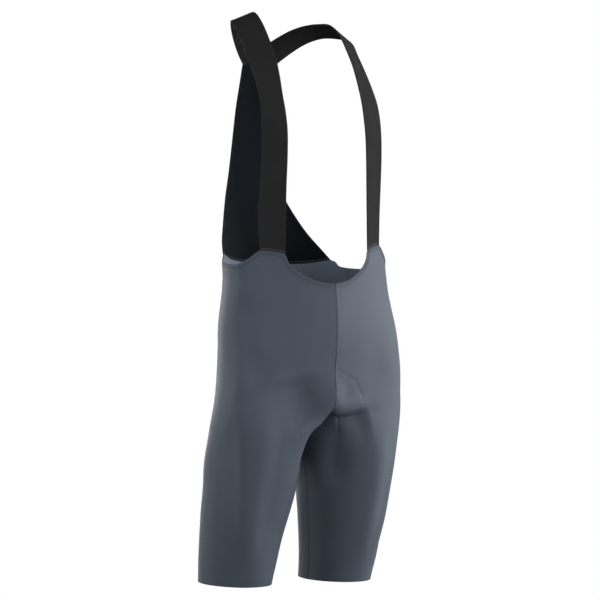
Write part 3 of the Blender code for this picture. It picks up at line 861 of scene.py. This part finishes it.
def fold_lift(points, normals, height, widths, path):
    """How far one ridge or trough moves each point along its normal."""
    left, right = MM * np.array(widths if isinstance(widths, tuple) else (widths, widths))
    reach = FOLD_REACH * max(left, right)
    path = MM * np.array(path)
    table = np.column_stack([run_along(path), path])
    line = np.array([smooth(table, share * table[-1, 0]) for share in np.linspace(0, 1, FOLD_STEPS + 1)])
    lift = np.zeros(len(points))
    near = ((points > line.min(0) - reach) & (points < line.max(0) + reach)).all(axis=1)
    beside = points[near]
    closest = np.full(len(beside), np.inf)
    share, leftness = np.zeros((2, len(beside)))
    for i, (start, step) in enumerate(zip(line[:-1], np.diff(line, axis=0))):
        part = np.clip((beside - start) @ step / (step @ step), 0, 1)
        offset = beside - start - part[:, None] * step
        away = np.linalg.norm(offset, axis=1)
        turned = (np.cross(unit(step), offset) * normals[near]).sum(axis=1) / np.maximum(away, 1e-9)
        share = np.where(away < closest, (i + part) / FOLD_STEPS, share)
        leftness = np.where(away < closest, turned, leftness)
        closest = np.minimum(away, closest)
    fade, left_over = FOLD_ENDS
    ends = left_over + (1 - left_over) * eased(np.minimum(share, 1 - share) / fade)
    width = right + (left - right) * eased((1 + leftness) / 2)
    lift[near] = MM * height * bell(closest, width) * ends
    return lift


def cleared(points, form, gap):
    """Points kept at least a gap behind the lining of a form."""
    tree = surface(form.points - form.normals * WALL, form.faces)
    for i, point in enumerate(points):
        place, normal, _, _ = tree.find_nearest(Vector(point))
        behind = (place - Vector(point)).dot(normal)
        if behind < gap:
            points[i] += np.array(-normal) * (gap - behind)
    return points


def pad_cage(under, over):
    """The pad's closed cage: its under side, its upper side and the rim between them."""
    points, faces, cloth = grid_cage(under, turned=True)
    count = len(points)
    start, end, face, corner = border_of(faces, count)
    rim = np.stack([end, start, start + count, end + count], axis=1)
    rim_cloth = np.repeat(cloth[face, corner][:, None], 4, axis=1)
    return (
        np.vstack([points, over.reshape(-1, 3)]),
        np.vstack([faces, faces[:, ::-1] + count, rim]),
        np.concatenate([cloth, cloth[:, ::-1], rim_cloth]),
        ["under"] * len(faces) + ["over"] * len(faces) + ["rim"] * len(rim),
    )


def quilted(form):
    """Stitched channels in the pad's upper side."""
    top = np.unique(form.faces[form.tags == "over"])
    places = np.zeros((len(form.points), 2))
    places[form.faces] = form.cloth
    across, along = places[top].T
    across = np.abs(across)
    depth, width = CHANNEL
    sunk = np.zeros(len(top))
    for offset, bend, low, high in CHANNELS:
        shown = eased((along - low) / CHANNEL_FADE) * eased((high - along) / CHANNEL_FADE)
        sunk += shown * bell(across - offset - bend * along, width)
    shown = eased((CROSSING_END[0] - across) / CROSSING_END[1])
    for place in CROSSINGS:
        sunk += shown * bell(along - place - CROSSING_BEND * across**2, width)
    form.points[top] -= form.normals[top] * (depth * np.minimum(sunk, CHANNEL_MOST))[:, None]
    return form


def point_tree(places):
    """A tree that finds the nearest of some places."""
    tree = KDTree(len(places))
    for i, place in enumerate(places):
        tree.insert(place, i)
    tree.balance()
    return tree


def distance_to(points, places, reach):
    """Distance of each point to the nearest of some places, up to a reach."""
    tree = point_tree(places)
    low, high = places.min(axis=0) - reach, places.max(axis=0) + reach
    result = np.full(len(points), reach)
    for i in np.flatnonzero(((points > low) & (points < high)).all(axis=1)):
        result[i] = min(reach, tree.find(points[i])[2])
    return result


def wander(points, most, size, seed):
    """Smooth noise at each point, of one height and size in metres."""
    return most * np.array([noise.noise(Vector(p / size) + Vector((seed, 0, 0))) for p in points])


def seam_points(form, one, other):
    """The points where the faces of two tags meet."""
    return form.points[np.intersect1d(form.faces[form.tags == one], form.faces[form.tags == other])]


def shape_knit(form, pad_edge):
    """Folds, unevenness and puckered seams, moved into the fine form of the shorts."""
    points = form.points
    lift = wander(points, *UNEVEN)
    mirrored = [(height, width, [(-x, y, z) for x, y, z in path]) for height, width, path in MIRRORED_FOLDS]
    for fold in FOLDS + MIRRORED_FOLDS + tuple(mirrored):
        lift += fold_lift(points, form.normals, *fold)
    seams = np.vstack([seam_points(form, *tags) for tags in SEAMS])
    close = bell(distance_to(points, seams, SEAM_REACH), PUCKER_REACH)
    along = np.flatnonzero(close > PUCKER_LEAST)
    lift[along] += close[along] * wander(points[along], *PUCKER)
    low, high = PAD_LINE_FADE
    seen = eased((points[:, 2] - low) / (high - low))
    seen *= np.where(points[:, 0] < 0, PAD_LINE_RIGHT, 1.0)
    away = distance_to(points, pad_edge, PAD_LINE_REACH)
    lift -= PAD_LINE_DEPTH * bell(away, PAD_LINE_WIDTH) * seen
    moves = form.normals * lift[:, None]
    form.points = points + moves
    form.normals = normals_of(form.points, form.faces)
    return form, moves


def carried(points, knit_points, moves):
    """Points behind the knit, moved along with it."""
    tree = point_tree(knit_points)
    moved = points.copy()
    for i, point in enumerate(points):
        found = tree.find_n(point, PAD_CARRIERS)
        weights = np.array([1 / (away + PAD_CARRIER_GAP) for _, _, away in found])
        moved[i] += weights @ moves[[index for _, index, _ in found]] / weights.sum()
    return moved


def seam_lap(seams):
    """Lifts a piece along the seams under which the seam allowances lie."""

    def relief(tag, points):
        if tag not in seams:
            return np.zeros(len(points))
        away = distance_to(points, seams[tag], LAP_REACH)
        return LAP_HEIGHT * (1 - eased((away - LAP_WIDTH) / LAP_FADE + 0.5))

    return relief


# ---------------------------------------------------------------- stitches


def runs_of(start, end, kept):
    """Ordered runs of point numbers along an outline, of the edges whose two ends are kept."""
    following = {int(a): int(b) for a, b in zip(start, end) if kept[a] and kept[b]}
    reached = set(following.values())
    heads = [a for a in following if a not in reached] or list(following)[:1]
    runs = []
    for head in heads:
        run = [head]
        while run[-1] in following:
            run.append(following.pop(run[-1]))
        runs.append(run)
    return runs


class Run:
    """A line along a cloth, with places beside it: positive offsets lie on the piece it outlines."""

    def __init__(self, points, normals):
        self.at = run_along(points)
        self.length = self.at[-1]
        self.height = points[:, 2].mean()
        self.across = np.abs(points[:, 0])
        ways = np.gradient(points, axis=0)
        self.columns = np.hstack([points, normals, unit(np.cross(normals, ways))]).T

    def places(self, along, offset):
        along = np.clip(along, 0, self.length)
        values = np.stack([np.interp(along, self.at, column) for column in self.columns], axis=1)
        return values[:, :3] + values[:, 6:] * np.asarray(offset)[:, None]

    def row(self, offset, stitch, first=0.0, last=None):
        """A straight row of stitches, all along the run or from one place on it to another."""
        length, shown = stitch
        starts = np.arange(first + length, (last or self.length) - length, length)
        aside = np.full(len(starts), offset)
        return self.places(starts, aside), self.places(starts + shown, aside)

    def zigzag(self, low, high, length):
        """Stitches that go to and fro between two offsets."""
        ends = np.arange(0, self.length + 1e-9, length / 2)
        aside = np.where(np.arange(len(ends)) % 2, high, low)
        places = self.places(ends, aside)
        return places[:-1], places[1:]


def runs_along(form, start, end, kept):
    """Runs along an outline, where its points are kept."""
    found = runs_of(start, end, kept)
    return [Run(form.points[run], form.normals[run]) for run in found if len(run) >= SHORTEST_RUN]


def knit_runs(form, tag, other=None):
    """Runs along the outline of one tagged part, where it meets another, or where it is free."""
    start, end, _, _ = border_of(form.faces[form.tags == tag], len(form.points))
    meets = np.zeros(len(form.points), bool)
    meets[form.faces[form.tags == other if other else form.tags != tag]] = True
    return runs_along(form, start, end, meets if other else ~meets)


def threads(name, stitches, skin, material, thick):
    """A mesh of short bent threads, each from one place to another on the cloth."""
    ends = []
    for places in zip(*stitches):
        found = [skin.find_nearest(Vector(place))[:2] for place in np.vstack(places)]
        ends.append(np.array(found).transpose(1, 0, 2))
    (first, first_up), (last, last_up) = ends
    up = unit(first_up + last_up)
    along = last - first
    up = unit(up - unit(along) * (up * unit(along)).sum(axis=1)[:, None])
    aside = np.cross(unit(along), up)
    radius = THREAD * thick
    turns = 2 * np.pi * np.arange(THREAD_SIDES) / THREAD_SIDES
    points = []
    for share, height, thickness in THREAD_RINGS:
        centre = first + along * share + up * radius * height
        for turn in turns:
            points.append(centre + (np.cos(turn) * aside + np.sin(turn) * up) * radius * thickness)
    points = np.stack(points, axis=1).reshape(-1, 3)
    each = len(THREAD_RINGS) * THREAD_SIDES
    around = np.arange(THREAD_SIDES)
    after = (around + 1) % THREAD_SIDES
    ring = np.stack([around, around + THREAD_SIDES, after + THREAD_SIDES, after], axis=1)
    sides = np.vstack([ring + i * THREAD_SIDES for i in range(len(THREAD_RINGS) - 1)])
    caps = np.array([around, each - 1 - around])
    shift = (np.arange(len(first)) * each)[:, None, None]
    faces = (sides + shift).reshape(-1, 4).tolist() + (caps + shift).reshape(-1, THREAD_SIDES).tolist()
    return new_piece(name, points, faces, material)


def seam_stitches(form):
    """The stitches along the seams of the knit, each with its thread's name."""
    near, far = LAP_WIDTH + LAP_STITCH[0], LAP_WIDTH + LAP_STITCH[1]
    for one, other in SEAMS:
        for run in knit_runs(form, one, other):
            if run.height > PALE_ROW_FROM:
                yield "threads_pale", run.row(PALE_ROW, PALE_STITCH)
            yield "threads_grey", run.zigzag(near, far, SEAM_STITCH[1])
            yield "threads_grey", run.row(far, ROW_STITCH)


def edge_stitches(form):
    """The stitches along the hems and the upper edge of the knit, each with its thread's name."""
    for tag in KNIT:
        for run in knit_runs(form, tag):
            if run.height < HEM_BELOW:
                for offset in HEM_ROWS:
                    yield "threads_grey", run.row(offset, ROW_STITCH)
                continue
            yield "threads_grey", run.zigzag(*OVERLOCK)
            if tag.startswith("front"):
                yield "threads_dark", run.row(EDGE_ROWS[0], EDGE_STITCH)
                yield "threads_dark", run.row(EDGE_ROWS[1], EDGE_STITCH, EDGE_STITCH[0] / 2)
                arm_side = run.at[run.across > ARM_SIDE_FROM]
                yield "threads_pale", run.row(ARM_ROW, ROW_STITCH, arm_side.min(), arm_side.max())


def join_stitches(form, outsides):
    """The stitches that join the panel and straps to the knit, and those of their free edges."""
    tree = surface(form.points, form.faces)
    half, length = SEAM_STITCH
    for name in ("back_panel", "strap_left", "strap_right"):
        outside = outsides[name]
        away = np.array([tree.find_nearest(Vector(place))[3] for place in outside.points])
        joined = away < JOINED
        for run in runs_along(outside, outside.start, outside.end, joined):
            yield "threads_pale", run.row(JOIN_ROW, ROW_STITCH)
            yield "threads_grey", run.zigzag(-half, half, length)
        for run in runs_along(outside, outside.start, outside.end, ~joined):
            yield "threads_black", run.row(FREE_ROW, ROW_STITCH)
            if name == "back_panel":
                yield "threads_black", run.zigzag(*ARM_OVERLOCK)


# ---------------------------------------------------------------- materials


class Graph:
    """The nodes of a material or the world. A value is a number, a colour or the output of a node."""

    def __init__(self, owner):
        owner.use_nodes = True
        self.nodes, self.links = owner.node_tree.nodes, owner.node_tree.links

    def put(self, socket, value):
        if isinstance(value, (int, float, tuple)):
            socket.default_value = value
        else:
            self.links.new(value, socket)

    def node(self, kind, values=(), **settings):
        """A new node with some settings, and with values for its inputs by name or place."""
        made = self.nodes.new("ShaderNode" + kind)
        for key, value in settings.items():
            setattr(made, key, value)
        for key, value in dict(values).items():
            self.put(made.inputs[key], value)
        return made

    def math(self, operation, *values):
        return self.node("Math", dict(enumerate(values)), operation=operation).outputs[0]

    def mixed(self, share, first, second):
        """A colour between two others."""
        values = {"Factor": share, "A": first, "B": second}
        return self.node("Mix", values, data_type="RGBA").outputs["Result"]

    def spread(self, value, low, high, to_low=0.0, to_high=1.0):
        """A value mapped from one range to another, and held inside it."""
        names = ("Value", "From Min", "From Max", "To Min", "To Max")
        values = dict(zip(names, (value, low, high, to_low, to_high)))
        return self.node("MapRange", values).outputs["Result"]

    def cloth(self):
        """The cloth's own coordinates, across and along, in metres."""
        places = self.node("UVMap", uv_map="cloth").outputs[0]
        return self.node("SeparateXYZ", {0: places}).outputs[:2]

    def wave(self, value, pitch):
        """Rounded ribs from 0 to 1, at one pitch."""
        return self.math("ABSOLUTE", self.math("SINE", self.math("MULTIPLY", value, np.pi / pitch)))

    def grain(self, scale, detail=2.0):
        """Noise that is fixed to the cloth."""
        place = self.node("TexCoord").outputs["Object"]
        return self.node("TexNoise", {"Vector": place, "Scale": scale, "Detail": detail}).outputs[0]

    def patches(self, scale, low, high, detail=2.0):
        """Noise between two values."""
        return self.spread(self.grain(scale, detail), *NOISE_SPAN, low, high)

    def attribute(self, name):
        return self.node("Attribute", attribute_name=name).outputs["Fac"]

    def rubbed(self, scale, most):
        """How far the cloth is rubbed: most at its cut edges, and in patches."""
        patches = self.spread(self.grain(scale), *RUBBED_SPAN, 0.0, most)
        return self.math("MULTIPLY", self.attribute("near_edge"), patches)

    def finish(self, colour, roughness, specular, relief, depth, strength):
        """The surface's last links: its colour, its roughness and its fine relief."""
        shader = self.nodes["Principled BSDF"]
        self.put(shader.inputs["Base Color"], colour)
        self.put(shader.inputs["Roughness"], roughness)
        shader.inputs["Specular IOR Level"].default_value = specular
        bump = self.node("Bump", {"Strength": strength, "Distance": depth, "Height": relief})
        self.links.new(bump.outputs[0], shader.inputs["Normal"])


def shade(colour, share):
    return (*[part * share for part in colour], 1.0)


def knit_look():
    """A dense warp knit: fine wales and courses, a slight melange, rubbed edges, a paler inside."""
    material = bpy.data.materials.new("slate_knit_look")
    g = Graph(material)
    across, along = g.cloth()
    wales, courses = g.wave(across, KNIT_WALE), g.wave(along, KNIT_COURSE)
    loops = g.math("MULTIPLY", wales, g.math("ADD", courses, 0.6))
    melange = g.grain(900.0, 3.0)
    # the loops' relief is also painted into the colour: painted shade between the loops, paler on their
    # tops
    tone = g.math("ADD", g.spread(melange, *NOISE_SPAN, 0.0, 0.4), g.spread(loops, 0.0, 1.6, 0.0, 0.3))
    tone = g.math("ADD", tone, g.patches(11.0, 0.0, 0.3))
    colour = g.mixed(tone, shade(SLATE, 0.88), shade(SLATE, 1.12))
    colour = g.mixed(g.rubbed(160.0, 0.3), colour, shade(SLATE, 1.7))
    brushed = g.mixed(melange, shade(SLATE, 1.3), shade(SLATE, 1.9))
    colour = g.mixed(g.attribute("inner_side"), colour, brushed)
    roughness = g.spread(melange, *NOISE_SPAN, 0.66, 0.78)
    g.finish(colour, roughness, 0.15, loops, 0.00012, 0.5)
    return material


def mesh_look():
    """An open mesh: small round holes in staggered rows between the ribs of the knit, sunk in its relief
    and painted dark, which is painted shade of what lies behind them.
    """
    material = bpy.data.materials.new("black_knit_look")
    g = Graph(material)
    across, along = g.cloth()
    holes = g.math("MULTIPLY", g.wave(across, MESH_PITCH), g.wave(along, MESH_PITCH))
    ribs = g.wave(g.math("ADD", across, along), MESH_RIB)
    relief = g.math("SUBTRACT", g.math("MULTIPLY", ribs, 0.25), g.spread(holes, 0.45, 0.75))
    # the holes are painted darker: painted shade of what lies behind them, as the mesh has no real openings
    tone = g.math("MULTIPLY", g.spread(holes, 0.45, 0.75, 1.0, 0.35), g.patches(700.0, 0.8, 1.2, 3.0))
    tone = g.math("MULTIPLY", tone, g.patches(9.0, 0.85, 1.15))
    colour = g.mixed(tone, shade(BLACK, 0.25), shade(BLACK, 1.25))
    g.finish(colour, g.patches(300.0, 0.74, 0.88), 0.03, relief, 0.00025, 0.6)
    return material


def elastic_look():
    """A woven elastic: ribs along it, a fine weft across them, painted shade in the grooves between them
    with paler tops, and rubbed paler edges.
    """
    material = bpy.data.materials.new("elastic_look")
    g = Graph(material)
    across, along = g.cloth()
    weft = g.math("MULTIPLY", g.wave(along, ELASTIC_WEFT), 0.4)
    relief = g.math("ADD", g.wave(across, ELASTIC_RIB), weft)
    fuzz = g.grain(1200.0, 3.0)
    # the relief of ribs and weft is also painted into the colour: painted shade in the grooves, paler tops
    tone = g.math("MULTIPLY", g.spread(relief, 0.0, 1.4, 0.7, 1.1), g.spread(fuzz, *NOISE_SPAN, 0.8, 1.2))
    tone = g.math("MULTIPLY", tone, g.patches(14.0, 0.9, 1.1))
    colour = g.mixed(g.math("SUBTRACT", tone, 0.5), shade(ELASTIC, 0.6), shade(ELASTIC, 1.4))
    colour = g.mixed(g.rubbed(220.0, 0.35), colour, shade(ELASTIC, 2.0))
    g.finish(colour, g.spread(fuzz, *NOISE_SPAN, 0.68, 0.82), 0.03, relief, 0.0006, 1.0)
    return material


def foam_look():
    """A brushed cover on foam, with the soft dimples of its quilting."""
    material = bpy.data.materials.new("pad_look")
    g = Graph(material)
    across, along = g.cloth()
    dimples = g.math("MULTIPLY", g.wave(across, FOAM_DIMPLE), g.wave(along, FOAM_DIMPLE))
    fuzz = g.grain(1500.0, 4.0)
    relief = g.math("ADD", g.math("MULTIPLY", dimples, 0.7), g.math("MULTIPLY", fuzz, 0.3))
    # the dimples' relief is also painted into the colour: painted shade in the quilting lines between them
    tone = g.math("ADD", g.spread(dimples, 0.0, 1.0, 0.1, 0.6), g.spread(fuzz, *NOISE_SPAN, -0.2, 0.3))
    colour = g.mixed(tone, shade(FOAM, 0.75), shade(FOAM, 1.3))
    g.finish(colour, g.spread(fuzz, *NOISE_SPAN, 0.8, 0.95), 0.1, relief, 0.0005, 0.5)
    return material


def thread_look(name, colour):
    """A twisted polyester thread, with a slight sheen."""
    material = bpy.data.materials.new(name)
    g = Graph(material)
    twist = g.wave(g.grain(2500.0), THREAD_TWIST)
    # the twist's relief is also painted into the colour: painted shade in its grooves, paler ridges
    tone = g.mixed(twist, shade(colour, 0.75), shade(colour, 1.2))
    g.finish(tone, g.spread(twist, 0.0, 1.0, 0.5, 0.65), 0.2, twist, 0.00003, 0.4)
    return material


# ---------------------------------------------------------------- the cloth pieces

shorts, half_faces, half_cloth, half_tags, torso_ids = half_shorts()
shorts = relaxed(shorts, half_faces)
points, faces, cloth, tags = whole_shorts(shorts, half_faces, half_cloth, half_tags)
knit_form = fine_form(stanced(points), faces, cloth, tags)
under, over = pad_grids(shorts, half_faces)
edge_line = np.vstack([under[:, 0], under[-1, 1:-1], under[::-1, -1], under[0, -2:0:-1]])
edge_line = close_points(stanced(np.vstack([edge_line, edge_line[:1]])), PAD_LINE_STEP)
even_tree = surface(knit_form.points, knit_form.faces)
pad_edge = np.array([even_tree.find_nearest(Vector(place))[0] for place in edge_line])
even_points = knit_form.points
knit_form, knit_moves = shape_knit(knit_form, pad_edge)

slate, black, elastic, foam = knit_look(), mesh_look(), elastic_look(), foam_look()

centre_front, side_left, side_right, centre_back = [seam_points(knit_form, *tags) for tags in SEAMS]
laps = seam_lap(
    {
        "front_left": np.vstack([centre_front, side_left]),
        "front_right": side_right,
        "back_left": centre_back,
    }
)
made = {}
outsides = {}
for name in KNIT:
    made[name], outsides[name] = shell("knit_" + name, knit_form, name, WALL, slate, laps)

points, faces, cloth = grid_cage(back_panel_grid(shorts, torso_ids), turned=True)
panel_form = fine_form(stanced(points), faces, cloth)
made["back_panel"], outsides["back_panel"] = shell("mesh_back_panel", panel_form, "", WALL, black)

strap = strap_grid(shorts, torso_ids)
for name, sign in (("strap_left", 1), ("strap_right", -1)):
    points, faces, cloth = grid_cage(strap * [sign, 1, 1], turned=sign < 0)
    strap_form = fine_form(stanced(points), faces, cloth)
    made[name], outsides[name] = shell("elastic_" + name, strap_form, "", STRAP_WALL, elastic)

points, faces, cloth, tags = pad_cage(under, over)
pad_form = quilted(fine_form(stanced(points), faces, cloth, tags))
pad_points = cleared(carried(pad_form.points, even_points, knit_moves), knit_form, PAD_CLEAR)
made["seat_pad"] = new_piece(
    "padded_seat_pad", pad_points, pad_form.faces.tolist(), foam, pad_form.cloth
)

# ---------------------------------------------------------------- the threads

counts = [len(outside.points) for outside in outsides.values()]
shifts = np.cumsum([0, *counts[:-1]])
skin = surface(
    np.vstack([outside.points for outside in outsides.values()]),
    np.vstack([outside.faces + shift for outside, shift in zip(outsides.values(), shifts)]),
)

stitches = {name: [] for name, _, _, _ in THREADS}
for made_by in (seam_stitches(knit_form), edge_stitches(knit_form), join_stitches(knit_form, outsides)):
    for name, stitch in made_by:
        stitches[name].append(stitch)
for name, colour, thick, slot in THREADS:
    piece = threads(name, stitches[name], skin, thread_look(name + "_look", colour), thick)
    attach(piece, "root")

# ---------------------------------------------------------------- the pieces, in place of the frame's parts of the same names

slots = {
    "back_panel": "black_knit",
    "strap_left": "charcoal_elastic",
    "strap_right": "charcoal_elastic",
    "seat_pad": "pad_foam",
}
for name, piece in made.items():
    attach(piece, "root")
    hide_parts(name)
    slots.get(name, "slate_knit")


# ---------------------------------------------------------------- stage, light and camera


def direction(azimuth, elevation):
    """The way from the object to a place round it. Azimuth 0 is in front of it, 90 at its left."""
    a, e = np.radians(azimuth), np.radians(elevation)
    return Vector((np.sin(a) * np.cos(e), -np.cos(a) * np.cos(e), np.sin(e)))


def aimed(obj, middle, way, distance):
    """An object at a distance from a middle, turned to face it."""
    obj.location = middle + way * distance
    obj.rotation_euler = (-way).to_track_quat("-Z", "Y").to_euler()
    return obj


def floor():
    """A pale round floor, bright by itself, that neither lights nor shades the object."""
    turns = np.linspace(0, 2 * np.pi, FLOOR_SIDES + 1)[:-1]
    ring = np.stack([np.cos(turns), np.sin(turns), turns * 0], axis=1) * FLOOR_RADIUS
    ring[:, 2] = FLOOR_HEIGHT
    material = bpy.data.materials.new("floor_look")
    shader = Graph(material).nodes["Principled BSDF"].inputs
    shader["Base Color"].default_value = FLOOR_COLOUR
    shader["Roughness"].default_value = 0.9
    shader["Emission Color"].default_value = WHITE
    shader["Emission Strength"].default_value = FLOOR_GLOW
    obj = new_piece("floor", ring, [list(range(FLOOR_SIDES))], material)
    obj.visible_diffuse = False
    obj.visible_glossy = False
    obj.visible_shadow = False


def area_light(name, azimuth, elevation, size, power):
    """A soft light that looks at the object's middle."""
    data = bpy.data.lights.new(name, "AREA")
    data.shape = "RECTANGLE"
    data.size, data.size_y = size
    data.energy = power
    middle = Vector((0, 0, CAMERA_HEIGHT))
    light = aimed(placed(name, data), middle, direction(azimuth, elevation), LIGHT_DISTANCE)
    light.visible_camera = False


def world():
    """A white backdrop to the camera, which lights the object only faintly."""
    studio = bpy.data.worlds.new("studio")
    g = Graph(studio)
    backdrop = g.nodes["Background"]
    backdrop.inputs["Color"].default_value = WHITE
    backdrop.inputs["Strength"].default_value = 1.0
    place = g.node("TexCoord").outputs["Generated"]
    up = g.node("SeparateXYZ", {0: place}).outputs[2]
    strength = g.spread(up, *BELOW_FADE, BELOW, AMBIENT)
    ambient = g.node("Background", {"Color": WHITE, "Strength": strength}).outputs[0]
    seen = g.node("LightPath").outputs["Is Camera Ray"]
    mix = g.node("MixShader", {0: seen, 1: ambient, 2: backdrop.outputs[0]})
    g.links.new(mix.outputs[0], g.nodes["World Output"].inputs["Surface"])
    bpy.context.scene.world = studio


def camera():
    """A camera at the object's right front."""
    data = bpy.data.cameras.new("camera")
    data.lens = CAMERA_LENS
    data.sensor_width = CAMERA_SENSOR
    data.clip_end = 50
    turn = np.radians(CAMERA_AZIMUTH)
    right = Vector((np.cos(turn), np.sin(turn), 0))
    middle = right * CAMERA_SIDE + Vector((0, 0, CAMERA_HEIGHT))
    way = direction(CAMERA_AZIMUTH, CAMERA_ELEVATION)
    bpy.context.scene.camera = aimed(placed("camera", data), middle, way, CAMERA_DISTANCE)


floor()
world()
for light in LIGHTS:
    area_light(*light)
camera()
bpy.context.scene.view_settings.view_transform = "Standard"
